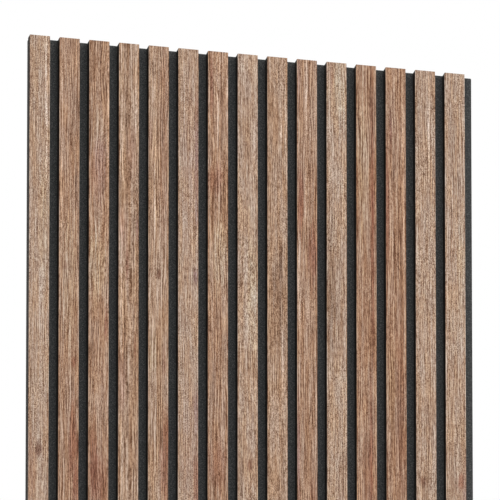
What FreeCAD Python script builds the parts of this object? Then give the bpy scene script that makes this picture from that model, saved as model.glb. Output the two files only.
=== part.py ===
import FreeCAD, Part
import os

# Acoustic slat wall panel, one 600 mm module wide and one 2400 mm board high.
#
# Fifteen slats stand side by side on a backing of pressed felt. Each slat is a bar of fibreboard,
# dyed black all through, with a thin wood veneer glued to its face. Wire staples are driven from
# behind, through the felt and into every bar, and hold the panel together. The felt runs on past
# the last slat by one gap, so that panels set side by side keep one even row of slats.
#
# Millimetres. +Z runs up the wall and -Y points out into the room. The origin is the middle of the
# felt's back face, where the panel meets the wall.

# Slats
SLAT_COUNT = 15
SLAT_WIDTH = 27.0
SLAT_GAP = 13.0
SLAT_LENGTH = 2400.0
CORE_THICKNESS = 11.4
VENEER_THICKNESS = 0.6
VENEER_ARRIS = 0.3  # small flat sanded along the veneer's two long front edges

# Felt backing
FELT_THICKNESS = 9.0
FELT_SIDE_INSET = 1.0  # the felt is cut this much short of the module on each side
FELT_CORNER_RADIUS = 1.5

# Fine wire staples
STAPLE_CROWN = 12.8  # width over both legs
STAPLE_LEG = 16.0  # from the top of the crown to the points
STAPLE_POINT = 1.2  # length of the bevel on each point
STAPLE_SINK = 0.35  # how far the crown is pressed below the felt's back face
STAPLE_SPACING = 400.0  # from row to row up the slat
WIRE_THICKNESS = 0.65
WIRE_WIDTH = 0.95

# Worked out from the sizes above
SLAT_PITCH = SLAT_WIDTH + SLAT_GAP
MODULE_WIDTH = SLAT_COUNT * SLAT_PITCH
FELT_FRONT_Y = -FELT_THICKNESS
CORE_FRONT_Y = FELT_FRONT_Y - CORE_THICKNESS
VENEER_FRONT_Y = CORE_FRONT_Y - VENEER_THICKNESS
BOTTOM_Z = -SLAT_LENGTH / 2

OUTWARD = FreeCAD.Vector(0, -1, 0)
UP = FreeCAD.Vector(0, 0, 1)


def slat_centres():
    """Middle of each slat along X. The first slat's left side is the module's left side."""
    first = -MODULE_WIDTH / 2 + SLAT_WIDTH / 2
    return [first + number * SLAT_PITCH for number in range(SLAT_COUNT)]


def staple_heights():
    """Height of each row of staples, spaced evenly about the panel's middle."""
    rows = max(1, int(SLAT_LENGTH // STAPLE_SPACING))
    return [(row - (rows - 1) / 2) * STAPLE_SPACING for row in range(rows)]


def outline(points):
    """Flat closed face through the points, given in order."""
    return Part.Face(Part.makePolygon(points + points[:1]))


def felt_sheet():
    """The backing before it is stapled: a sheet of felt with its four corners softened."""
    width = MODULE_WIDTH - 2 * FELT_SIDE_INSET
    corner = FreeCAD.Vector(-width / 2, FELT_FRONT_Y, BOTTOM_Z)
    sheet = Part.makeBox(width, FELT_THICKNESS, SLAT_LENGTH, corner)
    through = [
        edge
        for edge in sheet.Edges
        if abs(edge.tangentAt(edge.FirstParameter).dot(OUTWARD)) > 0.99
    ]
    return sheet.makeFillet(FELT_CORNER_RADIUS, through)


def core_bar(centre_x):
    """The fibreboard bar of one slat, with its back on the felt."""
    corner = FreeCAD.Vector(centre_x - SLAT_WIDTH / 2, CORE_FRONT_Y, BOTTOM_Z)
    return Part.makeBox(SLAT_WIDTH, CORE_THICKNESS, SLAT_LENGTH, corner)


def veneer_strip(centre_x):
    """The veneer on one slat's face: its section, eased at both front corners, drawn up the slat."""
    outer = SLAT_WIDTH / 2
    inner = outer - VENEER_ARRIS
    shoulder = VENEER_FRONT_Y + VENEER_ARRIS

    def at(x, y):
        return FreeCAD.Vector(centre_x + x, y, BOTTOM_Z)

    section = outline(
        [
            at(-outer, CORE_FRONT_Y),
            at(outer, CORE_FRONT_Y),
            at(outer, shoulder),
            at(inner, VENEER_FRONT_Y),
            at(-inner, VENEER_FRONT_Y),
            at(-outer, shoulder),
        ]
    )
    return section.extrude(UP * SLAT_LENGTH)


def staple(centre_x, centre_z):
    """One staple, crown to the wall, with both legs run out through the felt into the bar."""
    outer = STAPLE_CROWN / 2
    inner = outer - WIRE_THICKNESS
    crown_back = -STAPLE_SINK
    crown_front = crown_back - WIRE_THICKNESS
    tip = crown_back - STAPLE_LEG
    bevel = tip + STAPLE_POINT
    bottom = centre_z - WIRE_WIDTH / 2

    def at(x, y):
        return FreeCAD.Vector(centre_x + x, y, bottom)

    side = outline(
        [
            at(-outer, crown_back),
            at(outer, crown_back),
            at(outer, tip),
            at(inner, bevel),
            at(inner, crown_front),
            at(-inner, crown_front),
            at(-inner, bevel),
            at(-outer, tip),
        ]
    )
    return side.extrude(UP * WIRE_WIDTH)


def crown_dent(centre_x, centre_z):
    """The dent that a crown leaves in the felt, from the back face down to the sunken crown."""
    corner = FreeCAD.Vector(centre_x - STAPLE_CROWN / 2, -STAPLE_SINK, centre_z - WIRE_WIDTH / 2)
    return Part.makeBox(STAPLE_CROWN, STAPLE_SINK, WIRE_WIDTH, corner)


def save(name, shape):
    """Writes one piece to its own file."""
    shape.exportStep(os.path.join("parts", name + ".step"))


def main():
    """Builds every piece in place and saves it."""
    os.makedirs("parts", exist_ok=True)
    all_staples = []
    all_dents = []
    for number, centre_x in enumerate(slat_centres(), start=1):
        staples = [staple(centre_x, height) for height in staple_heights()]
        all_dents += [crown_dent(centre_x, height) for height in staple_heights()]
        all_staples += staples
        save(f"slat_core_{number:02d}", core_bar(centre_x).cut(staples))
        save(f"slat_veneer_{number:02d}", veneer_strip(centre_x))
    save("felt_backing", felt_sheet().cut(all_staples + all_dents))
    save("staples", Part.makeCompound(all_staples))


main()
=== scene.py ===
"""Looks of the acoustic slat wall panel: its finishes, felt, staples, studio and camera."""

import logging
import math
from collections.abc import Callable
from dataclasses import dataclass
from enum import Enum
from typing import ClassVar

import bmesh
import bpy
from mathutils import Color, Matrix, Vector


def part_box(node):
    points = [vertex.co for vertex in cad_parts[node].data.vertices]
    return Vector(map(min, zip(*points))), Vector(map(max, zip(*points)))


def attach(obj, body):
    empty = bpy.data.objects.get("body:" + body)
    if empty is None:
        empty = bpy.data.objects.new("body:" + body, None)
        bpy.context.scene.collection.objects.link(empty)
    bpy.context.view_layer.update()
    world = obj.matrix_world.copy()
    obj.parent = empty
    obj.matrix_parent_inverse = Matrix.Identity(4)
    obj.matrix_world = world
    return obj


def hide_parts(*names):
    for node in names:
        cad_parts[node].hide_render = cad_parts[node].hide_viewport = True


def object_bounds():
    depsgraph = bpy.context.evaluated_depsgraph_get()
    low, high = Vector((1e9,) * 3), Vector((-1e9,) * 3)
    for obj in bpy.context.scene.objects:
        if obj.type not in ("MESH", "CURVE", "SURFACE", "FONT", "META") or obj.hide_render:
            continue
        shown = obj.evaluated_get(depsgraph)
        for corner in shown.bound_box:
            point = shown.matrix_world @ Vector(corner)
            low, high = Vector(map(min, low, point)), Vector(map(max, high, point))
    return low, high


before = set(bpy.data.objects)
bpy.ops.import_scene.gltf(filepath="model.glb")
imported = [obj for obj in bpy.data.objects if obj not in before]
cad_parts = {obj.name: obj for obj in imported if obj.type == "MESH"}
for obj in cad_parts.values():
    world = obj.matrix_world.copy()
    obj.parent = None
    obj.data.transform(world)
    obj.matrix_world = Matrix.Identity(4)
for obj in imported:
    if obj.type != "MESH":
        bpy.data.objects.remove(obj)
CAD_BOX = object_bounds()

LOG = logging.getLogger("slat_panel")
MM = 0.001
NEAR = 0.01 * MM  # closer than this is the same place
BODY = "root"
SLATS = range(1, 1 + sum(name.startswith("slat_core_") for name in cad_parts))
ACROSS = Vector((1, 0, 0))
UPWARD = Vector((0, 0, 1))

Colour = tuple[float, float, float]
ShaderColour = tuple[float, float, float, float]
Size = tuple[float, float, float]
Socket = bpy.types.NodeSocket
Outputs = bpy.types.NodeOutputs
Material = bpy.types.Material
Piece = bpy.types.Object
Source = Socket | float | tuple[float, ...]
WHITE = (1.0, 1.0, 1.0, 1.0)


def linear(red: float, green: float, blue: float) -> ShaderColour:
    """Turns a display colour, 0 to 255, into the linear one that shaders take, with an alpha of one."""
    display = Color((red / 255, green / 255, blue / 255))
    return (*display.from_srgb_to_scene_linear(), 1.0)


class NodeBoard:
    """A node tree with short calls that add nodes and wire them."""

    # Numbers of the Mix node's colour sockets.
    MIX_FACTOR, MIX_FIRST, MIX_SECOND, MIX_RESULT = 0, 6, 7, 2

    def __init__(self, tree: bpy.types.NodeTree) -> None:
        """Takes the tree to build in: a material's, a group's or the world's."""
        self.tree = tree

    def add(
        self, kind: str, inputs: dict[str | int, Source] | None = None, **options: object
    ) -> bpy.types.Node:
        """Adds one node.

        Args:
            kind: the node's type name.
            inputs: what feeds each input, a socket or a fixed value, by name or number.
            **options: the node's own settings.

        Returns:
            The new node.
        """
        node = self.tree.nodes.new(kind)
        for name, value in options.items():
            setattr(node, name, value)
        for key, source in (inputs or {}).items():
            self.feed(node.inputs[key], source)
        return node

    def feed(self, socket: Socket, source: Source) -> None:
        """Wires a socket to another, or sets it to a fixed value.

        Args:
            socket: the input to feed.
            source: an output socket, a number or a tuple.
        """
        if isinstance(source, Socket):
            self.tree.links.new(source, socket)
        else:
            socket.default_value = source

    def math(
        self, operation: str, first: Source, second: Source = 0.0, third: Source = 0.0, clamp: bool = False
    ) -> Socket:
        """Works on up to three numbers, and keeps the result between 0 and 1 if it is to be clamped."""
        inputs = {0: first, 1: second, 2: third}
        return self.add("ShaderNodeMath", inputs, operation=operation, use_clamp=clamp).outputs[0]

    def vector(self, operation: str, *vectors: Source) -> Outputs:
        """Works on vectors, in their order. A plain number stands for three equal parts."""
        return self.add("ShaderNodeVectorMath", dict(enumerate(vectors)), operation=operation).outputs

    def split(self, vector: Source) -> Outputs:
        """Splits a vector into its X, Y and Z."""
        return self.add("ShaderNodeSeparateXYZ", {0: vector}).outputs

    def join(self, x: Source, y: Source, z: Source) -> Socket:
        """Makes a vector of its X, Y and Z."""
        return self.add("ShaderNodeCombineXYZ", {0: x, 1: y, 2: z}).outputs[0]

    def blend(self, factor: Source, first: Source, second: Source, mode: str = "MIX") -> Socket:
        """Mixes two colours.

        Args:
            factor: share of the second colour.
            first: colour at a factor of 0.
            second: colour that is laid over the first.
            mode: how it is laid over, such as MULTIPLY.

        Returns:
            The mixed colour's socket.
        """
        inputs = {self.MIX_FACTOR: factor, self.MIX_FIRST: first, self.MIX_SECOND: second}
        node = self.add("ShaderNodeMix", inputs, data_type="RGBA", blend_type=mode, clamp_factor=True)
        return node.outputs[self.MIX_RESULT]

    def step(self, value: Source, low: float, high: float) -> Socket:
        """Rises smoothly from 0 to 1 while a value goes from low to high."""
        inputs = {"Value": value, "From Min": low, "From Max": high}
        return self.add("ShaderNodeMapRange", inputs, interpolation_type="SMOOTHSTEP").outputs["Result"]

    def noise(self, position: Source, size: Size, detail: float = 0.0, roughness: float = 0.5) -> Socket:
        """Adds soft noise whose blotches have a given size.

        Args:
            position: where the noise is read, in metres.
            size: length of one blotch along X, Y and Z, in metres.
            detail: how many finer layers it has.
            roughness: how strong the finer layers are.

        Returns:
            The socket of a value about 0.5.
        """
        scale = tuple(1 / length for length in size)
        stretched = self.vector("MULTIPLY", position, scale)[0]
        inputs = {"Vector": stretched, "Scale": 1.0, "Detail": detail, "Roughness": roughness}
        return self.add("ShaderNodeTexNoise", inputs).outputs["Fac"]

    def swing(self, position: Source, size: Size, detail: float = 0.0, roughness: float = 0.5) -> Socket:
        """Adds the same noise, but about 0."""
        return self.math("SUBTRACT", self.noise(position, size, detail, roughness), 0.5)


@dataclass(frozen=True)
class Port:
    """One input or output of a node group."""

    name: str
    kind: str
    default: float | tuple[float, ...] | None = None


FLOAT = "NodeSocketFloat"
VECTOR = "NodeSocketVector"
COLOUR = "NodeSocketColor"


class Effect(NodeBoard):
    """A surface effect kept as a node group, built once and used by several materials.

    An effect is the board of its group's own tree, and `given` holds the group's inputs.
    """

    name: ClassVar[str]
    takes: ClassVar[tuple[Port, ...]]
    gives: ClassVar[tuple[Port, ...]]

    def __init__(self, tree: bpy.types.NodeTree) -> None:
        """Puts the group's inputs in its tree."""
        super().__init__(tree)
        self.given = self.add("NodeGroupInput").outputs

    def wire(self) -> dict[str, Socket]:
        """Builds the inside of the group.

        Returns:
            The socket that feeds each output, by name.
        """
        raise NotImplementedError

    @classmethod
    def group(cls) -> bpy.types.NodeTree:
        """Finds the effect's node group, or builds it at its first use.

        Returns:
            The node group.
        """
        known = bpy.data.node_groups.get(cls.name)
        if known:
            return known
        group = bpy.data.node_groups.new(cls.name, "ShaderNodeTree")
        for ports, direction in ((cls.takes, "INPUT"), (cls.gives, "OUTPUT")):
            for port in ports:
                socket = group.interface.new_socket(port.name, in_out=direction, socket_type=port.kind)
                if port.default is not None:
                    socket.default_value = port.default
        effect = cls(group)
        effect.add("NodeGroupOutput", effect.wire())
        return group

    @classmethod
    def place(cls, board: NodeBoard, inputs: dict[str | int, Source]) -> Outputs:
        """Puts the effect in a material's tree with values of its own, and gives its outputs."""
        return board.add("ShaderNodeGroup", inputs, node_tree=cls.group()).outputs


class WoodGrain(Effect):
    """Veneer grain: marks that flow along Z or arch about a heart, from flecks to broad bands.

    A size is one mark's length along X, Y and Z. A range is where a step over a noise starts and ends.
    """

    name = "wood_grain"
    GAINS = ("Wander", "Fleck", "Tick", "Thread", "Streak", "Band", "Cloud", "Ring")
    takes = (
        Port("Position", VECTOR),
        Port("Seed", FLOAT, 0.0),
        Port("Heart", VECTOR, (0.1, 0.0, 0.0)),
        Port("Arch", FLOAT, 0.0),
        *(Port(gain, FLOAT, 1.0) for gain in GAINS),
        Port("Shade", FLOAT, 0.0),
        Port("Onset", FLOAT, 0.0),
        Port("Dark", COLOUR, (0.1, 0.06, 0.04, 1.0)),
        Port("Middle", COLOUR, (0.4, 0.28, 0.2, 1.0)),
        Port("Pale", COLOUR, (0.7, 0.55, 0.45, 1.0)),
    )
    gives = (Port("Color", COLOUR), Port("Roughness", FLOAT), Port("Height", FLOAT))

    DEPTH = 9.0 * MM
    SEED_STEP = 0.731

    # How the lines of grain run
    WANDER_SIZE = (22.0 * MM, DEPTH, 110.0 * MM)
    WANDER = 9.0 * MM
    ARCH_LENGTH = 170.0 * MM
    SIDE_BLEND = 3.0 * MM

    # Marks along the grain: the gain's name, the size and the noise's detail
    FINE_LAYERS = (
        ("Tick", (1.15 * MM, DEPTH, 6.5 * MM), 0.0),
        ("Thread", (1.2 * MM, DEPTH, 32.0 * MM), 0.0),
    )
    BROAD_LAYERS = (
        ("Streak", (1.7 * MM, DEPTH, 150.0 * MM), 1.0),
        ("Band", (10.0 * MM, DEPTH, 300.0 * MM), 1.0),
    )
    CLOUD_SIZE = (4.5 * MM, DEPTH, 15.0 * MM)
    CLOUD_TURN = math.radians(22)

    # Flecks, which are stronger where the wood is rough
    FLECK_SIZE = (0.82 * MM, DEPTH, 2.1 * MM)
    ROUGH_SIZE = (26.0 * MM, DEPTH, 75.0 * MM)
    ROUGH_RANGE = (0.3, 0.7)
    SMOOTH_GAIN = 0.5

    # Growth rings, which slip aside and fade here and there
    RING_SPACING = 3.0 * MM
    RING_SLIP_SIZE = (7.0 * MM, DEPTH, 90.0 * MM)
    RING_SLIP = 18.0
    RING_FADE_SIZE = (6.0 * MM, DEPTH, 45.0 * MM)
    RING_FADE_RANGE = (0.35, 0.65)

    PORE_SIZE = (0.55 * MM, DEPTH, 5.5 * MM)
    PORE_RANGE = (0.56, 0.72)
    PORE_SHADE = -0.32

    # Cool and warm stretches. Dark streaks are the warmer ones.
    HUE_SIZE = (9.0 * MM, DEPTH, 60.0 * MM)
    HUE_RANGE = (0.22, 0.78)
    HUE_FOLLOWS = -1.5
    COOL_TINT = (0.995, 1.025, 1.08, 1.0)
    WARM_TINT = (1.015, 0.915, 0.795, 1.0)

    # Russet, dark and pale stretches below the leaf's own patches: size, range and tint
    BLUSHES = (
        ((8.0 * MM, DEPTH, 80.0 * MM), (0.55, 0.72), (0.73, 0.53, 0.45, 1.0)),
        ((2.6 * MM, DEPTH, 120.0 * MM), (0.6, 0.72), (0.62, 0.52, 0.46, 1.0)),
        ((2.2 * MM, DEPTH, 200.0 * MM), (0.62, 0.74), (1.5, 1.7, 1.85, 1.0)),
    )
    BLUSH_ONSET = 90.0 * MM

    # The surface: dark wood is more matt, and pores lie lower than what is round them
    ROUGHNESS = 0.66
    ROUGHNESS_OF_VALUE = -0.16
    HEIGHT_OF_VALUE = 0.5

    def __init__(self, tree: bpy.types.NodeTree) -> None:
        """Finds the plain place and the bent one, which all the patterns are read at."""
        super().__init__(tree)
        self.still, self.bent = self.flow()

    def flow(self) -> tuple[Socket, Socket]:
        """Bends the place on the leaf so that lines of grain become straight.

        Returns:
            The plain place and the bent one, both shifted by the leaf's seed.
        """
        given = self.given
        x, y, z = self.split(given["Position"])
        depth = self.math("MULTIPLY_ADD", given["Seed"], self.SEED_STEP, y)
        still = self.join(x, depth, z)
        sway = self.math("MULTIPLY", self.swing(still, self.WANDER_SIZE, detail=1.0), given["Wander"])
        heart = self.split(given["Heart"])
        aside = self.math("SUBTRACT", self.math("MULTIPLY_ADD", sway, self.WANDER, x), heart[0])
        rise = self.step(self.math("SUBTRACT", heart[2], z), 0.0, self.ARCH_LENGTH)
        rise = self.math("MULTIPLY", rise, given["Arch"])
        across = self.vector("LENGTH", self.join(aside, rise, 0.0))["Value"]
        side = self.step(aside, -self.SIDE_BLEND, self.SIDE_BLEND)
        return still, self.join(across, self.math("MULTIPLY_ADD", side, self.DEPTH, depth), z)

    def layered(self, layers: tuple[tuple[str, Size, float], ...], value: Source) -> Socket:
        """Adds layers of stretched noise to a value.

        Args:
            layers: the gain's name, the size and the detail of each layer.
            value: the value to add to.

        Returns:
            The sum's socket.
        """
        for name, size, detail in layers:
            value = self.math("MULTIPLY_ADD", self.swing(self.bent, size, detail), self.given[name], value)
        return value

    def rings(self) -> Socket:
        """Draws the growth rings as even lines.

        Returns:
            The socket of a value about 0.
        """
        slip = self.noise(self.bent, self.RING_SLIP_SIZE, detail=1.0)
        slip = self.math("MULTIPLY", slip, self.RING_SLIP)
        turn = self.math("MULTIPLY_ADD", self.split(self.bent)[0], math.tau / self.RING_SPACING, slip)
        shown = self.step(self.noise(self.bent, self.RING_FADE_SIZE, detail=1.0), *self.RING_FADE_RANGE)
        return self.math("MULTIPLY", self.math("SINE", turn), shown)

    def flecks(self) -> Socket:
        """Draws the flecks, the shortest marks.

        Returns:
            The socket of a value about 0.
        """
        rough = self.step(self.noise(self.still, self.ROUGH_SIZE, detail=1.0), *self.ROUGH_RANGE)
        gain = self.math("MULTIPLY", self.math("ADD", rough, self.SMOOTH_GAIN), self.given["Fleck"])
        return self.math("MULTIPLY", self.swing(self.bent, self.FLECK_SIZE, detail=1.0), gain)

    def coloured(self, value: Source, broad: Source) -> Socket:
        """Turns the grain's value into a colour with cool and warm stretches.

        Args:
            value: how pale the wood is, about 0.5.
            broad: what the broad layers add to the value.

        Returns:
            The colour's socket.
        """
        lower = self.math("MULTIPLY", value, 2.0, clamp=True)
        upper = self.math("MULTIPLY_ADD", value, 2.0, -1.0, clamp=True)
        colour = self.blend(lower, self.given["Dark"], self.given["Middle"])
        colour = self.blend(upper, colour, self.given["Pale"])
        hue = self.noise(self.bent, self.HUE_SIZE, detail=1.5)
        hue = self.math("MULTIPLY_ADD", broad, self.HUE_FOLLOWS, hue)
        tint = self.blend(self.step(hue, *self.HUE_RANGE), self.COOL_TINT, self.WARM_TINT)
        return self.blend(1.0, colour, tint, mode="MULTIPLY")

    def blushed(self, colour: Source) -> Socket:
        """Scatters the russet, dark and pale stretches over the wood.

        Args:
            colour: the wood's colour so far.

        Returns:
            The new colour's socket.
        """
        drop = self.math("SUBTRACT", self.given["Onset"], self.split(self.bent)[2])
        shown = self.step(drop, 0.0, self.BLUSH_ONSET)
        for size, limits, tint in self.BLUSHES:
            stretch = self.step(self.noise(self.bent, size, detail=1.5), *limits)
            colour = self.blend(self.math("MULTIPLY", stretch, shown), colour, tint, mode="MULTIPLY")
        return colour

    def wire(self) -> dict[str, Socket]:
        """Builds the grain from layers of stretched noise.

        Returns:
            The socket that feeds each output, by name.
        """
        tilt = {"Vector": self.still, "Angle": self.CLOUD_TURN}
        tilted = self.add("ShaderNodeVectorRotate", tilt, rotation_type="Y_AXIS").outputs[0]
        cloud = self.swing(tilted, self.CLOUD_SIZE, detail=1.0)
        broad = self.layered(self.BROAD_LAYERS, self.math("MULTIPLY", cloud, self.given["Cloud"]))
        value = self.math("ADD", self.math("ADD", broad, 0.5), self.given["Shade"])
        value = self.math("ADD", self.layered(self.FINE_LAYERS, value), self.flecks())
        value = self.math("MULTIPLY_ADD", self.rings(), self.given["Ring"], value)
        pores = self.step(self.noise(self.bent, self.PORE_SIZE, detail=1.0), *self.PORE_RANGE)
        value = self.math("MULTIPLY_ADD", pores, self.PORE_SHADE, value)
        return {
            "Color": self.blushed(self.coloured(value, broad)),
            "Roughness": self.math("MULTIPLY_ADD", value, self.ROUGHNESS_OF_VALUE, self.ROUGHNESS),
            "Height": self.math("SUBTRACT", self.math("MULTIPLY", value, self.HEIGHT_OF_VALUE), pores),
        }


class SoftPatch(Effect):
    """Mask of one long patch in the wood with a ragged, soft edge."""

    name = "soft_patch"
    takes = (
        Port("Position", VECTOR),
        Port("Centre", VECTOR, (0.0, 0.0, 0.0)),
        Port("Reach", VECTOR, (0.01, 1.0, 0.01)),
        Port("Ragged", FLOAT, 1.0),
        Port("Strength", FLOAT, 1.0),
    )
    gives = (Port("Mask", FLOAT),)

    RAGGED_SIZE = (2.2 * MM, 50.0 * MM, 26.0 * MM)
    RAGGED_ROUGHNESS = 0.6
    FADE = (0.35, 1.2)  # the shares of the reach between which the patch fades

    def wire(self) -> dict[str, Socket]:
        """Fades from the patch's middle to its reach.

        Returns:
            The socket that feeds each output, by name.
        """
        position, centre, reach, raggedness, strength = (self.given[port.name] for port in self.takes)
        offset = self.vector("SUBTRACT", position, centre)[0]
        distance = self.vector("LENGTH", self.vector("DIVIDE", offset, reach)[0])["Value"]
        ragged = self.swing(position, self.RAGGED_SIZE, detail=2.0, roughness=self.RAGGED_ROUGHNESS)
        distance = self.math("MULTIPLY_ADD", ragged, raggedness, distance)
        inside = self.math("SUBTRACT", 1.0, self.step(distance, *self.FADE))
        return {"Mask": self.math("MULTIPLY", inside, strength, clamp=True)}


class MattedFibres(Effect):
    """Fibres lying every way in a pressed mat, as in felt and in fibreboard."""

    name = "matted_fibres"
    takes = (Port("Position", VECTOR), Port("Grain", FLOAT, 1.0))
    gives = (Port("Fibre", FLOAT), Port("Height", FLOAT))

    FIBRE_SIZE = (0.16 * MM, 0.16 * MM, 2.2 * MM)
    FIBRE_RANGE = (0.5, 0.78)
    FIBRE_SHARE = 0.5
    AXIS = (0.25, 1.0, 0.15)
    TURNS = (0.35, 1.25, 2.15, 2.85)
    CLUMP_SIZE = (1.5 * MM, 1.5 * MM, 1.5 * MM)
    CLUMP_SHARE = 1.6
    CLUMP_START = -0.6
    CLUMP_HEIGHT = 0.6

    def wire(self) -> dict[str, Socket]:
        """Lays thin streaks at several angles over each other, and clumps under them.

        Returns:
            The socket that feeds each output, by name.
        """
        place = self.vector("MULTIPLY", self.given["Position"], self.given["Grain"])[0]
        streaks: Source = 0.0
        for turn in self.TURNS:
            inputs = {"Vector": place, "Axis": self.AXIS, "Angle": turn}
            turned = self.add("ShaderNodeVectorRotate", inputs, rotation_type="AXIS_ANGLE").outputs[0]
            streak = self.step(self.noise(turned, self.FIBRE_SIZE, detail=1.0), *self.FIBRE_RANGE)
            streaks = self.math("MAXIMUM", streaks, streak)
        clump = self.noise(place, self.CLUMP_SIZE, detail=2.0)
        loft = self.math("MULTIPLY_ADD", clump, self.CLUMP_SHARE, self.CLUMP_START)
        return {
            "Fibre": self.math("MULTIPLY_ADD", streaks, self.FIBRE_SHARE, loft, clamp=True),
            "Height": self.math("MULTIPLY_ADD", clump, self.CLUMP_HEIGHT, streaks),
        }


def new_material(name: str) -> tuple[Material, NodeBoard, bpy.types.Node]:
    """Starts a material with an empty Principled shader.

    Args:
        name: name of the material.

    Returns:
        The material, its board and its shader.
    """
    material = bpy.data.materials.new(name)
    material.use_nodes = True
    material.node_tree.nodes.clear()
    board = NodeBoard(material.node_tree)
    shader = board.add("ShaderNodeBsdfPrincipled")
    board.add("ShaderNodeOutputMaterial", {"Surface": shader.outputs[0]})
    return material, board, shader


class Finish:
    """A material of one shader, with a pattern that is read at the place on the object."""

    name: str
    relief: float
    relief_strength: float
    settings: dict[str, float]

    def paint(self, board: NodeBoard, position: Socket) -> tuple[Socket, Socket, Socket]:
        """Draws the pattern.

        Args:
            board: the material's board.
            position: socket of the place on the object.

        Returns:
            The sockets of the colour, the roughness and the height of the relief.
        """
        raise NotImplementedError

    def material(self) -> Material:
        """Builds the material.

        Returns:
            The material.
        """
        material, board, shader = new_material(self.name)
        position = board.add("ShaderNodeTexCoord").outputs["Object"]
        colour, roughness, height = self.paint(board, position)
        board.feed(shader.inputs["Base Color"], colour)
        board.feed(shader.inputs["Roughness"], roughness)
        for name, value in self.settings.items():
            board.feed(shader.inputs[name], value)
        inputs = {"Strength": self.relief_strength, "Distance": self.relief, "Height": height}
        board.feed(shader.inputs["Normal"], board.add("ShaderNodeBump", inputs).outputs[0])
        return material


class Tone(Enum):
    """The kinds of leaf in the row: dark, middle and pale colour of the grain."""

    PALE = ((110, 80, 59), (181, 151, 130), (221, 199, 177))
    MIDDLE = ((106, 74, 51), (175, 143, 119), (216, 188, 164))
    WARM = ((102, 67, 44), (171, 136, 112), (213, 182, 157))
    RUSSET = ((99, 62, 39), (168, 131, 106), (211, 179, 152))


@dataclass(frozen=True)
class Weave:
    """How strongly each layer of the grain shows, from the shortest marks to the longest."""

    fleck: float
    tick: float
    thread: float
    streak: float
    band: float
    cloud: float
    ring: float
    wander: float

    STEADY: ClassVar[tuple[str, ...]] = ("band", "cloud", "wander")

    def gains(self, contrast: float) -> dict[str, float]:
        """Gives the gain of each layer, and the contrast goes into those that aren't steady.

        Args:
            contrast: the leaf's contrast.

        Returns:
            The gains, by the name that the grain has for them.
        """
        return {
            name.capitalize(): gain if name in self.STEADY else gain * contrast
            for name, gain in vars(self).items()
        }


class Figure(Enum):
    """How the grain runs in a leaf."""

    FINE = Weave(
        fleck=1.9, tick=0.9, thread=0.72, streak=0.5, band=0.15, cloud=0.2, ring=0.27, wander=0.4
    )
    STRAIGHT = Weave(
        fleck=1.3, tick=0.8, thread=0.9, streak=0.75, band=0.2, cloud=0.1, ring=0.37, wander=0.3
    )
    FLAMED = Weave(
        fleck=1.2, tick=0.8, thread=0.85, streak=0.7, band=0.25, cloud=0.2, ring=0.36, wander=1.0
    )


class Stain(Enum):
    """Colour that a patch turns wood of the middle tone into."""

    RUSSET = (150, 105, 82)
    BROWN = (134, 102, 80)
    ROSE = (152, 116, 103)
    GOLD = (188, 163, 138)
    PALE = (216, 186, 162)
    KNOT = (130, 92, 71)

    @property
    def tint(self) -> ShaderColour:
        """What a patch multiplies the wood's colour by."""
        plain = linear(*Tone.MIDDLE.value[1])
        return tuple(part / whole for part, whole in zip(linear(*self.value), plain))


@dataclass(frozen=True)
class Patch:
    """A stained stretch of a leaf, in millimetres from the leaf's middle line and its top end."""

    across: float
    below: float
    half_width: float
    half_length: float
    strength: float

    LEAST_RAGGED: ClassVar[float] = 0.4
    MOST_RAGGED: ClassVar[float] = 1.6
    RAGGED_PER_MM: ClassVar[float] = 0.2

    @property
    def ragged(self) -> float:
        """How ragged its edge is: thin lines stay whole, wide patches break up."""
        return min(self.MOST_RAGGED, self.LEAST_RAGGED + self.RAGGED_PER_MM * self.half_width)


@dataclass(frozen=True)
class Heart:
    """Where arched grain starts, placed as a patch is, and how far its lines part. In millimetres."""

    across: float = 70.0
    below: float = 0.0
    arch: float = 0.0


@dataclass(frozen=True)
class Leaf:
    """The veneer on one slat."""

    tone: Tone
    figure: Figure
    patches: dict[Stain, tuple[Patch, ...]]
    contrast: float = 1.0
    shade: float = 0.0
    heart: Heart = Heart()


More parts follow.
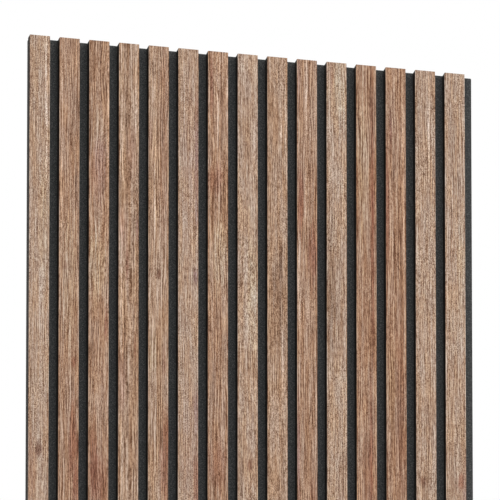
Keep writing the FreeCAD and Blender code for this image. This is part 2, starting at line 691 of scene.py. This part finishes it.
LEAVES = (
    Leaf(Tone.PALE, Figure.FINE, contrast=1.08, patches={
        Stain.KNOT: (Patch(0, 586, 6.5, 11, 1.0),),
        Stain.BROWN: (
            Patch(-9.6, 476, 1.4, 26, 0.7), Patch(6.6, 122, 1.1, 40, 0.6), Patch(-5, 80, 2.2, 90, 0.3),
        ),
        Stain.PALE: (Patch(8.7, 100, 1.7, 120, 0.95), Patch(1, 370, 4, 60, 0.25)),
        Stain.GOLD: (Patch(6, 262, 7, 90, 0.45),),
        Stain.RUSSET: (Patch(-9, 610, 6, 60, 0.45),),
    }),
    Leaf(Tone.WARM, Figure.STRAIGHT, contrast=1.06, patches={
        Stain.PALE: (Patch(-10.4, 160, 1.3, 190, 0.9), Patch(8.8, 40, 1.1, 42, 0.8)),
        Stain.BROWN: (
            Patch(10.4, 96, 1.9, 64, 1.0), Patch(5.2, 80, 1.4, 90, 0.5), Patch(8.8, 200, 1.3, 44, 0.8),
            Patch(5.5, 482, 1.3, 26, 0.7), Patch(11.6, 517, 2, 9, 0.8),
        ),
        Stain.GOLD: (Patch(0, 345, 12, 120, 0.6),),
        Stain.KNOT: (Patch(-4.7, 323, 4, 9, 0.8),),
        Stain.RUSSET: (Patch(6.8, 458, 4, 10, 0.9), Patch(6, 575, 8, 70, 0.95), Patch(11, 640, 5, 70, 0.7)),
    }),
    Leaf(Tone.WARM, Figure.FLAMED, contrast=0.95, patches={
        Stain.BROWN: (
            Patch(2.6, 29, 1.6, 20, 0.7), Patch(5, 50, 1.6, 34, 0.6), Patch(8, 70, 1.8, 16, 0.35),
            Patch(-8.5, 430, 1.9, 30, 0.7), Patch(7.4, 528, 1.7, 28, 0.7),
        ),
        Stain.PALE: (Patch(12, 130, 1.3, 180, 0.8),),
        Stain.GOLD: (Patch(-2, 120, 7, 26, 0.4), Patch(-4, 316, 13, 62, 1.0)),
        Stain.ROSE: (Patch(0, 180, 13, 52, 0.6),),
        Stain.RUSSET: (Patch(10, 400, 3, 28, 0.8), Patch(-6, 590, 6, 66, 0.7), Patch(0, 622, 15, 48, 0.8)),
    }),
    Leaf(Tone.MIDDLE, Figure.STRAIGHT, contrast=0.86, shade=-0.02, heart=Heart(0.5, 62, 4.0), patches={
        Stain.PALE: (
            Patch(-9, 250, 2.4, 380, 0.6), Patch(9.6, 80, 1.3, 95, 0.9), Patch(-8.7, 590, 1.5, 50, 0.6),
        ),
        Stain.BROWN: (
            Patch(-2, 120, 2, 140, 0.5), Patch(-5, 400, 1.6, 90, 0.5), Patch(-1.3, 500, 1.3, 120, 0.5),
        ),
        Stain.RUSSET: (
            Patch(-8, 262, 6, 36, 0.6), Patch(4, 156, 8, 50, 0.5), Patch(-2, 311, 2.6, 32, 0.8),
            Patch(-8, 475, 6, 56, 0.55), Patch(9, 432, 1.9, 26, 0.6),
        ),
        Stain.ROSE: (Patch(11.2, 262, 1.3, 24, 0.9),),
    }),
    Leaf(Tone.MIDDLE, Figure.STRAIGHT, contrast=0.98, patches={
        Stain.PALE: (Patch(-4.6, 150, 1.4, 170, 0.6),),
        Stain.RUSSET: (Patch(7, 130, 8, 190, 0.4), Patch(8, 446, 4, 28, 0.5), Patch(9, 582, 8, 78, 0.95)),
        Stain.ROSE: (Patch(-11, 123, 2.4, 30, 0.5),),
        Stain.BROWN: (Patch(-1.5, 100, 2.6, 70, 0.35), Patch(3.5, 553, 2.4, 22, 1.0)),
        Stain.KNOT: (Patch(0.8, 323, 4, 9, 1.0),),
        Stain.GOLD: (Patch(-7, 434, 6, 36, 0.65),),
    }),
    Leaf(Tone.PALE, Figure.FINE, contrast=1.12, shade=-0.02, patches={
        Stain.ROSE: (
            Patch(11, 160, 2.6, 120, 0.75), Patch(9.8, 322, 3, 15, 0.9), Patch(10.5, 512, 3.5, 34, 0.7),
            Patch(2, 160, 12, 140, 0.22), Patch(0, 560, 12, 90, 0.25),
        ),
        Stain.PALE: (Patch(5, 215, 1.4, 125, 0.85),),
        Stain.RUSSET: (Patch(11, 610, 5, 60, 0.9),),
    }),
    Leaf(Tone.WARM, Figure.FLAMED, contrast=1.06, patches={
        Stain.RUSSET: (
            Patch(-8.6, 49, 2.6, 50, 0.85), Patch(-3, 182, 12, 27, 0.75), Patch(0, 585, 15, 44, 0.65),
        ),
        Stain.PALE: (
            Patch(0, 60, 3.4, 80, 0.6), Patch(12, 80, 1.2, 110, 0.8), Patch(7.8, 370, 1.2, 40, 0.8),
        ),
        Stain.BROWN: (
            Patch(2.8, 50, 2.2, 26, 1.0), Patch(5.6, 130, 1.7, 40, 0.7), Patch(6.4, 198, 2, 24, 0.8),
            Patch(-4.3, 200, 1.6, 26, 0.6), Patch(-1, 370, 1.8, 44, 0.6), Patch(6, 428, 6, 36, 0.4),
            Patch(-6, 480, 2.4, 40, 0.6), Patch(3, 480, 1.6, 30, 0.7),
        ),
        Stain.GOLD: (Patch(3, 285, 13, 60, 0.9),),
    }),
    Leaf(Tone.PALE, Figure.FINE, contrast=0.86, shade=-0.01, patches={
        Stain.BROWN: (
            Patch(-2, 118, 10, 44, 0.25), Patch(-5, 67, 1.7, 9, 0.8), Patch(-8.6, 590, 4, 60, 0.5),
        ),
        Stain.PALE: (Patch(8.8, 150, 1.5, 90, 0.5),),
        Stain.GOLD: (Patch(6, 330, 8, 110, 0.75),),
        Stain.KNOT: (Patch(2.6, 581, 5, 10, 1.0),),
    }),
    Leaf(Tone.MIDDLE, Figure.FINE, contrast=0.93, shade=0.01, patches={
        Stain.PALE: (
            Patch(4.5, 105, 1.3, 42, 0.95), Patch(11.4, 90, 1.3, 60, 0.5), Patch(7.1, 430, 1.2, 90, 0.7),
            Patch(11.4, 575, 1.4, 44, 0.6),
        ),
        Stain.BROWN: (
            Patch(4.6, 284, 2, 36, 0.8), Patch(2, 345, 13, 90, 0.55), Patch(2, 372, 1.8, 44, 0.5),
        ),
    }),
    Leaf(Tone.WARM, Figure.STRAIGHT, contrast=1.08, patches={
        Stain.PALE: (
            Patch(-0.8, 50, 2, 70, 0.8), Patch(-1.5, 200, 1.6, 44, 0.6), Patch(-10.8, 330, 1.8, 100, 0.8),
        ),
        Stain.ROSE: (Patch(-11, 20, 2, 50, 0.6), Patch(-11.6, 560, 2.4, 110, 0.9)),
        Stain.BROWN: (Patch(2, 40, 1.2, 36, 0.7), Patch(7.5, 48, 1.6, 30, 0.5), Patch(5, 491, 2, 16, 0.8)),
        Stain.RUSSET: (
            Patch(-8.6, 204, 5, 56, 1.0), Patch(8, 276, 7.5, 52, 1.0), Patch(7, 625, 5, 42, 0.5),
        ),
    }),
    Leaf(Tone.PALE, Figure.FINE, contrast=1.13, patches={
        Stain.GOLD: (Patch(4, 44, 9, 50, 0.7),),
        Stain.RUSSET: (Patch(-7, 20, 3.5, 24, 0.5),),
        Stain.BROWN: (
            Patch(-8, 320, 6.5, 110, 0.75), Patch(2, 330, 9, 90, 0.3), Patch(7.6, 580, 1.6, 50, 0.7),
        ),
        Stain.PALE: (Patch(9, 200, 1.3, 50, 0.6),),
    }),
    Leaf(Tone.RUSSET, Figure.STRAIGHT, contrast=0.82, shade=0.02, patches={
        Stain.GOLD: (Patch(-6, 140, 8, 130, 0.85),),
        Stain.RUSSET: (
            Patch(8.2, 215, 3.2, 240, 0.95), Patch(8.4, 205, 1.7, 44, 0.8), Patch(5.8, 540, 2.8, 120, 0.9),
            Patch(2, 600, 12, 80, 0.45),
        ),
        Stain.BROWN: (
            Patch(6.7, 40, 1.3, 44, 0.7), Patch(7, 400, 1.6, 50, 0.6), Patch(7, 490, 5, 32, 0.5),
            Patch(-2.5, 590, 2.6, 90, 0.5),
        ),
    }),
    Leaf(Tone.RUSSET, Figure.STRAIGHT, contrast=0.82, patches={
        Stain.RUSSET: (Patch(-11.4, 200, 2.8, 110, 1.0), Patch(5, 480, 8, 150, 0.45)),
        Stain.BROWN: (
            Patch(-2.4, 200, 1.3, 140, 0.7), Patch(6.9, 290, 1.6, 140, 0.7), Patch(3, 230, 1.3, 90, 0.6),
            Patch(1.8, 480, 1.4, 60, 0.7), Patch(5.7, 500, 1.7, 90, 0.8),
        ),
        Stain.PALE: (Patch(9.6, 170, 2, 190, 0.6),),
        Stain.ROSE: (Patch(-7, 90, 2.4, 34, 0.9),),
        Stain.GOLD: (Patch(-6, 455, 7, 66, 0.6),),
    }),
    Leaf(Tone.PALE, Figure.FINE, contrast=0.98, shade=-0.01, patches={
        Stain.PALE: (Patch(4.6, 70, 1.5, 86, 0.95),),
        Stain.BROWN: (
            Patch(2.6, 120, 1.1, 50, 0.6), Patch(-10, 60, 3, 110, 0.4), Patch(0.5, 600, 4, 70, 0.4),
        ),
        Stain.KNOT: (Patch(-4, 583, 5.5, 11, 0.95),),
    }),
    Leaf(Tone.PALE, Figure.FINE, contrast=1.22, patches={
        Stain.BROWN: (
            Patch(-3, 100, 6, 60, 0.4), Patch(5, 162, 3.6, 21, 0.4), Patch(-5, 196, 1.4, 9, 0.8),
            Patch(-4, 590, 5, 60, 0.4),
        ),
        Stain.KNOT: (Patch(-3, 380, 2.4, 6, 0.7),),
        Stain.GOLD: (Patch(8, 280, 6, 90, 0.5),),
        Stain.RUSSET: (Patch(7, 578, 5.5, 14, 1.0),),
        Stain.ROSE: (Patch(11, 600, 3, 60, 0.5),),
    }),
)


@dataclass(frozen=True)
class VeneerFinish(Finish):
    """Matt lacquered wood on the face of one slat."""

    number: int
    leaf: Leaf
    middle: float
    top: float
    patched: float = 640.0
    relief: float = 0.12 * MM
    relief_strength: float = 0.35

    settings: ClassVar[dict[str, float]] = {"Specular IOR Level": 0.25}

    @property
    def name(self) -> str:
        """Name of the material."""
        return f"veneer_{self.number:02d}"

    def on_leaf(self, across: float, below: float) -> tuple[float, float, float]:
        """Turns a place on the leaf, in millimetres, into one in the frame."""
        return (self.middle + across * MM, 0.0, self.top - below * MM)

    def paint(self, board: NodeBoard, position: Socket) -> tuple[Socket, Socket, Socket]:
        """Lays the leaf's grain and stains its patches.

        Args:
            board: the material's board.
            position: socket of the place on the object.

        Returns:
            The sockets of the colour, the roughness and the height of the relief.
        """
        leaf = self.leaf
        dark, middle, pale = (linear(*colour) for colour in leaf.tone.value)
        inputs = {
            "Position": position,
            "Seed": float(self.number),
            "Heart": self.on_leaf(leaf.heart.across, leaf.heart.below),
            "Arch": leaf.heart.arch * MM,
            "Shade": leaf.shade,
            "Onset": self.top - self.patched * MM,
            "Dark": dark,
            "Middle": middle,
            "Pale": pale,
        }
        grain = WoodGrain.place(board, inputs | leaf.figure.value.gains(leaf.contrast))
        colour = grain["Color"]
        for stain, patches in leaf.patches.items():
            for patch in patches:
                mask = self.mask(board, position, patch)
                colour = board.blend(mask, colour, stain.tint, mode="MULTIPLY")
        return colour, grain["Roughness"], grain["Height"]

    def mask(self, board: NodeBoard, position: Source, patch: Patch) -> Socket:
        """Finds where a patch lies.

        Args:
            board: the material's board.
            position: socket of the place on the object.
            patch: the patch.

        Returns:
            The mask's socket.
        """
        inputs = {
            "Position": position,
            "Centre": self.on_leaf(patch.across, patch.below),
            "Reach": (patch.half_width * MM, 1.0, patch.half_length * MM),
            "Ragged": patch.ragged,
            "Strength": patch.strength,
        }
        return SoftPatch.place(board, inputs)["Mask"]


@dataclass(frozen=True)
class MattedFinish(Finish):
    """Pressed fibres, the pale ones brighter than the base."""

    name: str
    base: Colour
    fibre: Colour
    grain: float
    fibre_range: tuple[float, float]
    roughness: float
    fibre_roughness: float
    relief: float
    relief_strength: float
    settings: dict[str, float]

    def paint(self, board: NodeBoard, position: Socket) -> tuple[Socket, Socket, Socket]:
        """Lays the fibres over the base.

        Args:
            board: the material's board.
            position: socket of the place on the object.

        Returns:
            The sockets of the colour, the roughness and the height of the relief.
        """
        mat = MattedFibres.place(board, {"Position": position, "Grain": self.grain})
        shown = board.step(mat["Fibre"], *self.fibre_range)
        colour = board.blend(shown, linear(*self.base), linear(*self.fibre))
        roughness = board.math("MULTIPLY_ADD", mat["Fibre"], self.fibre_roughness, self.roughness)
        return colour, roughness, mat["Height"]


# The slats' sides and sawn ends
BLACK_FIBREBOARD = MattedFinish(
    name="black_fibreboard",
    base=(33, 28, 24),
    fibre=(66, 57, 50),
    grain=1.6,
    fibre_range=(0.3, 0.95),
    roughness=0.68,
    fibre_roughness=0.2,
    relief=0.08 * MM,
    relief_strength=0.6,
    settings={"Specular IOR Level": 0.15},
)

# The backing
CHARCOAL_FELT = MattedFinish(
    name="charcoal_felt",
    base=(62, 63, 63),
    fibre=(118, 118, 117),
    grain=0.8,
    fibre_range=(0.25, 1.0),
    roughness=0.95,
    fibre_roughness=-0.08,
    relief=0.25 * MM,
    relief_strength=0.7,
    settings={"Specular IOR Level": 0.1, "Sheen Weight": 0.06, "Sheen Roughness": 0.6},
)


@dataclass(frozen=True)
class SteelFinish(Finish):
    """Galvanised wire, drawn lengthways."""

    name: str = "galvanised_wire"
    bright: Colour = (196, 196, 192)
    dull: Colour = (140, 141, 140)
    draw_size: Size = (3.0 * MM, 0.12 * MM, 0.12 * MM)
    bloom_size: Size = (1.4 * MM, 1.4 * MM, 1.4 * MM)
    bloom_range: tuple[float, float] = (0.35, 0.65)
    roughness: float = 0.22
    draw_roughness: float = 0.35
    relief: float = 0.02 * MM
    relief_strength: float = 0.5

    settings: ClassVar[dict[str, float]] = {"Metallic": 1.0}

    def paint(self, board: NodeBoard, position: Socket) -> tuple[Socket, Socket, Socket]:
        """Draws the die's lines and the zinc's dull bloom.

        Args:
            board: the material's board.
            position: socket of the place on the object.

        Returns:
            The sockets of the colour, the roughness and the height of the relief.
        """
        lines = board.noise(position, self.draw_size, detail=1.0)
        bloom = board.step(board.noise(position, self.bloom_size, detail=2.0), *self.bloom_range)
        colour = board.blend(bloom, linear(*self.bright), linear(*self.dull))
        return colour, board.math("MULTIPLY_ADD", lines, self.draw_roughness, self.roughness), lines


def only_active(piece: Piece) -> None:
    """Makes one object the only one selected, and the active one."""
    bpy.ops.object.select_all(action="DESELECT")
    piece.select_set(True)
    bpy.context.view_layer.objects.active = piece


def settle(piece: Piece) -> None:
    """Moves an object's place into its mesh and leaves the object at the origin."""
    only_active(piece)
    bpy.ops.object.transform_apply(location=True, rotation=True, scale=True)


def triangles(piece: Piece) -> int:
    """Counts the triangles of a piece's own mesh."""
    return sum(len(face.vertices) - 2 for face in piece.data.polygons)


def dress(piece: Piece, material: Material) -> None:
    """Gives every slot of a piece one material.

    Args:
        piece: the piece to dress.
        material: its material.
    """
    if not piece.data.materials:
        piece.data.materials.append(material)
    for index in range(len(piece.material_slots)):
        piece.material_slots[index].material = material


def apply_modifiers(piece: Piece) -> None:
    """Applies a piece's modifiers in order."""
    only_active(piece)
    for modifier in list(piece.modifiers):
        bpy.ops.object.modifier_apply(modifier=modifier.name)


@dataclass
class SlatRow:
    """The slats: black cores with a leaf of veneer on each."""

    leaves: tuple[Leaf, ...] = LEAVES

    def build(self) -> None:
        """Dresses every core and veneer of the frame."""
        black = BLACK_FIBREBOARD.material()
        for number in SLATS:
            dress(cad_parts[f"slat_core_{number:02d}"], black)
            low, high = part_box(f"slat_veneer_{number:02d}")
            leaf = self.leaves[(number - 1) % len(self.leaves)]
            finish = VeneerFinish(number, leaf, (low[0] + high[0]) / 2, high[2])
            dress(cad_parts[f"slat_veneer_{number:02d}"], finish.material())
            LOG.info("slat %02d: %s veneer, %s", number, leaf.tone.name.lower(), leaf.figure.name.lower())


class Shaper:
    """A mesh in edit mode, shaped by operators on what is picked by its place."""

    def __init__(self, piece: Piece) -> None:
        """Takes the piece to shape."""
        self.piece = piece

    def __enter__(self) -> "Shaper":
        """Opens edit mode with everything picked.

        Returns:
            The shaper itself.
        """
        only_active(self.piece)
        bpy.ops.object.mode_set(mode="EDIT")
        bpy.ops.mesh.select_all(action="SELECT")
        return self

    def __exit__(self, *reason: object) -> None:
        """Goes back to object mode."""
        bpy.ops.object.mode_set(mode="OBJECT")

    def pick_points(self, wanted: Callable[[Vector], bool]) -> None:
        """Picks some vertices and nothing else.

        Args:
            wanted: tells from a vertex's place whether it is picked.
        """
        bpy.ops.mesh.select_mode(type="VERT")
        bpy.ops.mesh.select_all(action="DESELECT")
        mesh = bmesh.from_edit_mesh(self.piece.data)
        for vertex in mesh.verts:
            vertex.select = wanted(vertex.co)
        mesh.select_flush_mode()
        bmesh.update_edit_mesh(self.piece.data)

    def pick_edges(self, wanted: Callable[[Vector, Vector], bool]) -> None:
        """Picks some edges and nothing else.

        Args:
            wanted: tells from an edge's middle and direction whether it is picked.
        """
        bpy.ops.mesh.select_mode(type="EDGE")
        bpy.ops.mesh.select_all(action="DESELECT")
        mesh = bmesh.from_edit_mesh(self.piece.data)
        for edge in mesh.edges:
            first, second = (vertex.co for vertex in edge.verts)
            edge.select = wanted((first + second) / 2, (second - first).normalized())
        bmesh.update_edit_mesh(self.piece.data)

    @staticmethod
    def cut(place: Vector, normal: Vector, **options: bool | float) -> None:
        """Cuts the whole mesh along a plane, with bisect's own settings such as clear_outer."""
        bpy.ops.mesh.select_all(action="SELECT")
        bpy.ops.mesh.bisect(plane_co=place, plane_no=normal, **options)


@dataclass(frozen=True)
class StapleLayout:
    """Where the staples lie, worked out from the frame. All in metres."""

    columns: tuple[float, ...]
    rows: tuple[float, ...]
    half_crown: float
    crown_back: float
    tip: float

    ROW_COUNT: ClassVar[int] = 6
    WIRE_WIDTH: ClassVar[float] = 0.95 * MM
    WIRE_THICKNESS: ClassVar[float] = 0.65 * MM

    @classmethod
    def from_frame(cls) -> "StapleLayout":
        """Reads the slats' middles and the reach of the staples.

        Returns:
            The layout.
        """
        cores = [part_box(f"slat_core_{number:02d}") for number in SLATS]
        columns = tuple((low[0] + high[0]) / 2 for low, high in cores)
        low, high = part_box("staples")
        first, last = low[2] + cls.WIRE_WIDTH / 2, high[2] - cls.WIRE_WIDTH / 2
        spacing = (last - first) / (cls.ROW_COUNT - 1)
        rows = tuple(first + row * spacing for row in range(cls.ROW_COUNT))
        return cls(columns, rows, high[0] - columns[-1], high[1], low[1])


@dataclass
class FeltSheet:
    """The felt backing: soft cut edges, and a dimple drawn in by every staple."""

    layout: StapleLayout
    corner_radius: float = 1.5 * MM
    corner_steps: int = 4
    rim_radius: float = 0.45 * MM
    rim_steps: int = 3
    dimple_reach: float = 5.5 * MM
    crown_margin: float = 0.3 * MM
    across_cuts: tuple[float, ...] = (0.0, 5.0 * MM, 6.6 * MM, 8.0 * MM, 9.6 * MM, 11.8 * MM)
    upward_cuts: tuple[float, ...] = (0.5 * MM, 1.5 * MM, 2.8 * MM, 4.2 * MM, 6.0 * MM)
    smooth_angle: float = math.radians(40)

    def build(self) -> Piece:
        """Models the sheet in the place of the plain one.

        Returns:
            The sheet.
        """
        low, high = (Vector(corner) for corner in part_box("felt_backing"))
        bpy.ops.mesh.primitive_cube_add(size=1, location=(low + high) / 2, scale=high - low)
        sheet = bpy.context.object
        sheet.name = "felt_sheet"
        settle(sheet)
        self.soften(sheet, low, high)
        self.dimple(sheet, high)
        bpy.ops.object.shade_smooth_by_angle(angle=self.smooth_angle)
        dress(sheet, CHARCOAL_FELT.material())
        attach(sheet, BODY)
        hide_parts("felt_backing")
        return sheet

    def soften(self, sheet: Piece, low: Vector, high: Vector) -> None:
        """Rounds the four corners, then the rims of both faces.

        Args:
            sheet: the sheet as a plain box.
            low: the box's lowest corner.
            high: the box's highest corner.
        """
        straight = 0.99
        with Shaper(sheet) as shaper:
            shaper.pick_edges(lambda middle, along: abs(along.y) > straight)
            bpy.ops.mesh.bevel(offset=self.corner_radius, segments=self.corner_steps, affect="EDGES")
            shaper.pick_edges(lambda middle, along: min(middle.y - low.y, high.y - middle.y) < NEAR)
            bpy.ops.mesh.bevel(offset=self.rim_radius, segments=self.rim_steps, affect="EDGES")

    def dimple(self, sheet: Piece, high: Vector) -> None:
        """Cuts a finer mesh about the staples and presses their crowns into it.

        Args:
            sheet: the sheet with its soft rims.
            high: the sheet's highest corner.
        """
        layout = self.layout
        lines = ((ACROSS, layout.columns, self.across_cuts), (UPWARD, layout.rows, self.upward_cuts))
        with Shaper(sheet) as shaper:
            for axis, middles, cuts in lines:
                for middle in middles:
                    for offset in cuts:
                        for side in {-offset, offset}:
                            shaper.cut((middle + side) * axis, axis)
            shaper.pick_points(lambda point: self.under_crown(point, high.y))
            depth = high.y - layout.crown_back + layout.WIRE_THICKNESS / 2
            bpy.ops.transform.translate(
                value=(0, -depth, 0),
                use_proportional_edit=True,
                proportional_edit_falloff="SMOOTH",
                proportional_size=self.dimple_reach,
            )

    def under_crown(self, point: Vector, back: float) -> bool:
        """Tells whether a point of the back face lies along a staple's crown.

        Args:
            point: the point.
            back: where the back face is along Y.

        Returns:
            True if it does.
        """
        layout = self.layout
        if point.y < back - NEAR:
            return False
        across = min(abs(point.x - column) for column in layout.columns)
        upward = min(abs(point.z - row) for row in layout.rows)
        return across < layout.half_crown + self.crown_margin and upward < layout.WIRE_WIDTH


@dataclass
class StapleWires:
    """The wire staples: one is bent and copied to every place."""

    layout: StapleLayout
    bend_radius: float = 0.95 * MM
    bend_steps: int = 4
    point_length: float = 1.2 * MM
    sides: int = 8
    cut_reach: float = 0.0001 * MM  # a coarser cut catches the wire's own points
    smooth_angle: float = math.radians(50)

    def build(self) -> Piece:
        """Models the staples in the place of the plain ones.

        Returns:
            The staples.
        """
        wires = self.bend_half()
        layout = self.layout
        wires.modifiers.new("other_half", "MIRROR").merge_threshold = NEAR
        apply_modifiers(wires)
        with Shaper(wires):
            bpy.ops.transform.translate(value=(layout.columns[0], 0, layout.rows[0]))
            bpy.ops.mesh.normals_make_consistent(inside=False)
        for name, places, axis in (("columns", layout.columns, ACROSS), ("rows", layout.rows, UPWARD)):
            array = wires.modifiers.new(name, "ARRAY")
            array.count = len(places)
            array.use_relative_offset = False
            array.use_constant_offset = True
            array.constant_offset_displace = (places[1] - places[0]) * axis
        apply_modifiers(wires)
        bpy.ops.object.shade_smooth_by_angle(angle=self.smooth_angle)
        dress(wires, SteelFinish().material())
        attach(wires, BODY)
        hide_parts("staples")
        return wires

    def bend_half(self) -> Piece:
        """Draws the wire from the crown's middle round one bend and down to the point.

        Returns:
            Half of one staple, at X = 0 and Z = 0.
        """
        layout = self.layout
        thickness, width = layout.WIRE_THICKNESS, layout.WIRE_WIDTH
        crown = Vector((0, layout.crown_back - thickness / 2, 0))
        quarter = math.pi / 2
        bpy.ops.mesh.primitive_circle_add(
            vertices=self.sides, radius=0.5, location=crown, rotation=(0, quarter, 0)
        )
        wire = bpy.context.object
        wire.name = "staple_wires"
        settle(wire)
        run = layout.half_crown - thickness / 2 - self.bend_radius
        leg = crown.y - self.bend_radius - layout.tip
        with Shaper(wire) as shaper:
            half_side = math.pi / self.sides
            bpy.ops.transform.rotate(value=half_side, orient_axis="X", center_override=crown)
            flat = math.cos(half_side)
            bpy.ops.transform.resize(value=(1, thickness / flat, width / flat), center_override=crown)
            bpy.ops.mesh.extrude_region_move(TRANSFORM_OT_translate={"value": (run, 0, 0)})
            bend = Vector((run, crown.y - self.bend_radius, 0))
            bpy.ops.mesh.spin(steps=self.bend_steps, angle=quarter, center=bend, axis=UPWARD)
            bpy.ops.mesh.extrude_region_move(TRANSFORM_OT_translate={"value": (0, -leg, 0)})
            corner = Vector((layout.half_crown, layout.tip, 0))
            across_bevel = Vector((-self.point_length, -thickness, 0))
            shaper.cut(
                corner, across_bevel, clear_outer=True, use_fill=True, threshold=self.cut_reach
            )
        return wire


@dataclass
class PhotoCamera:
    """The camera at the photograph's angle. A very long lens keeps upright lines parallel."""

    azimuth: float = -13.30
    elevation: float = -22.41
    lens: float = 1500.0
    sensor: float = 36.0
    frame_width: float = 0.6549
    right_of_middle: float = -3.53 * MM
    below_top: float = 277.9 * MM
    nearest: float = 1.0
    farthest: float = 200.0

    def build(self) -> None:
        """Makes the camera and looks through it."""
        low, high = CAD_BOX
        target = Vector((self.right_of_middle, low[1], high[2] - self.below_top))
        turn = math.radians(self.azimuth)
        rise = math.radians(self.elevation)
        back = Vector((math.sin(turn) * math.cos(rise), -math.cos(turn) * math.cos(rise), math.sin(rise)))
        distance = self.frame_width * self.lens / self.sensor
        bpy.ops.object.camera_add(location=target + back * distance)
        camera = bpy.context.object
        camera.name = "photo_camera"
        camera.rotation_mode = "QUATERNION"
        camera.rotation_quaternion = (-back).to_track_quat("-Z", "Y")
        camera.data.lens = self.lens
        camera.data.sensor_width = self.sensor
        camera.data.clip_start = self.nearest
        camera.data.clip_end = self.farthest
        bpy.context.scene.camera = camera
        LOG.info("camera: %.1f m away", distance)


@dataclass(frozen=True)
class Lamp:
    """One soft square lamp that points at the panel. In metres and watts."""

    name: str
    place: tuple[float, float, float]
    size: float
    power: float

    AIM: ClassVar[Vector] = Vector((0, 0, 0.3))

    def hang(self) -> None:
        """Hangs the lamp in its place."""
        bpy.ops.object.light_add(type="AREA", location=self.place)
        lamp = bpy.context.object
        lamp.name = self.name
        lamp.data.energy = self.power
        lamp.data.size = self.size
        lamp.rotation_mode = "QUATERNION"
        lamp.rotation_quaternion = (self.AIM - Vector(self.place)).to_track_quat("-Z", "Y")
        lamp.visible_camera = False


@dataclass
class Studio:
    """A pale floor, a white surround and soft lamps."""

    lamps: tuple[Lamp, ...] = (
        Lamp("front_lamp", (1.6, -4.2, 2.6), size=3.0, power=62.0),
        Lamp("side_lamp", (-4.6, -1.6, 1.6), size=2.4, power=16.0),
        Lamp("back_lamp", (1.0, 4.4, 2.4), size=3.0, power=48.0),
    )
    floor_radius: float = 14.0
    floor_sides: int = 96
    floor_gap: float = 0.5 * MM
    near_fade: float = 1.3
    far_fade: float = 4.5
    floor_shade: Colour = (232, 232, 230)
    floor_cloud: Size = (0.4, 0.4, 0.4)
    cloud_gain: float = 1.03
    floor_roughness: float = 0.9
    surround: float = 0.72

    def build(self) -> None:
        """Makes the floor, the surround and the lamps."""
        self.lay_floor()
        self.light_surround()
        for lamp in self.lamps:
            lamp.hang()
        bpy.context.scene.view_settings.view_transform = "Standard"

    def lay_floor(self) -> None:
        """Lays a round floor under the panel that fades into the white surround."""
        below = (0, 0, CAD_BOX[0][2] - self.floor_gap)
        bpy.ops.mesh.primitive_circle_add(
            vertices=self.floor_sides, radius=self.floor_radius, fill_type="NGON", location=below
        )
        floor = bpy.context.object
        floor.name = "studio_floor"
        settle(floor)
        dress(floor, self.floor_material())

    def floor_material(self) -> Material:
        """Builds the floor: pale near the panel, white further off, and clear from beneath.

        Returns:
            The material.
        """
        material, board, shader = new_material("pale_floor")
        position = board.add("ShaderNodeTexCoord").outputs["Object"]
        shade = linear(*self.floor_shade)
        paler = tuple(min(1.0, part * self.cloud_gain) for part in shade)
        cloud = board.noise(position, self.floor_cloud, detail=2.0)
        board.feed(shader.inputs["Base Color"], board.blend(cloud, shade, paler))
        board.feed(shader.inputs["Roughness"], self.floor_roughness)
        away = board.vector("LENGTH", position)["Value"]
        drop = abs(CAD_BOX[0][2])
        far = board.step(away, self.near_fade + drop, self.far_fade + drop)
        path = board.add("ShaderNodeLightPath")
        seen_far = board.math("MULTIPLY", far, path.outputs["Is Camera Ray"])
        white = board.add("ShaderNodeEmission", {"Color": WHITE, "Strength": 1.0})
        above = board.add("ShaderNodeMixShader", {0: seen_far, 1: shader.outputs[0], 2: white.outputs[0]})
        clear = board.add("ShaderNodeBsdfTransparent")
        beneath = board.add("ShaderNodeNewGeometry").outputs["Backfacing"]
        whole = board.add("ShaderNodeMixShader", {0: beneath, 1: above.outputs[0], 2: clear.outputs[0]})
        output = next(node for node in board.tree.nodes if node.type == "OUTPUT_MATERIAL")
        board.feed(output.inputs["Surface"], whole.outputs[0])
        return material

    def light_surround(self) -> None:
        """Makes the world white to the eye and softer as a light."""
        world = bpy.data.worlds.new("white_surround")
        bpy.context.scene.world = world
        world.use_nodes = True
        world.node_tree.nodes.clear()
        board = NodeBoard(world.node_tree)
        path = board.add("ShaderNodeLightPath")
        seen = board.math("MAXIMUM", path.outputs["Is Camera Ray"], path.outputs["Is Glossy Ray"])
        seen = board.math("MAXIMUM", seen, path.outputs["Is Transmission Ray"])
        soft = board.add("ShaderNodeBackground", {"Color": WHITE, "Strength": self.surround})
        white = board.add("ShaderNodeBackground", {"Color": WHITE, "Strength": 1.0})
        mixed = board.add("ShaderNodeMixShader", {0: seen, 1: soft.outputs[0], 2: white.outputs[0]})
        board.add("ShaderNodeOutputWorld", {"Surface": mixed.outputs[0]})


def main() -> None:
    """Builds the whole scene in order."""
    logging.basicConfig(level=logging.INFO, format="%(name)s: %(message)s")
    PhotoCamera().build()
    Studio().build()
    SlatRow().build()
    layout = StapleLayout.from_frame()
    for assembly in (FeltSheet(layout), StapleWires(layout)):
        piece = assembly.build()
        LOG.info("%s: %d triangles", piece.name, triangles(piece))


if __name__ == "__main__":
    main()
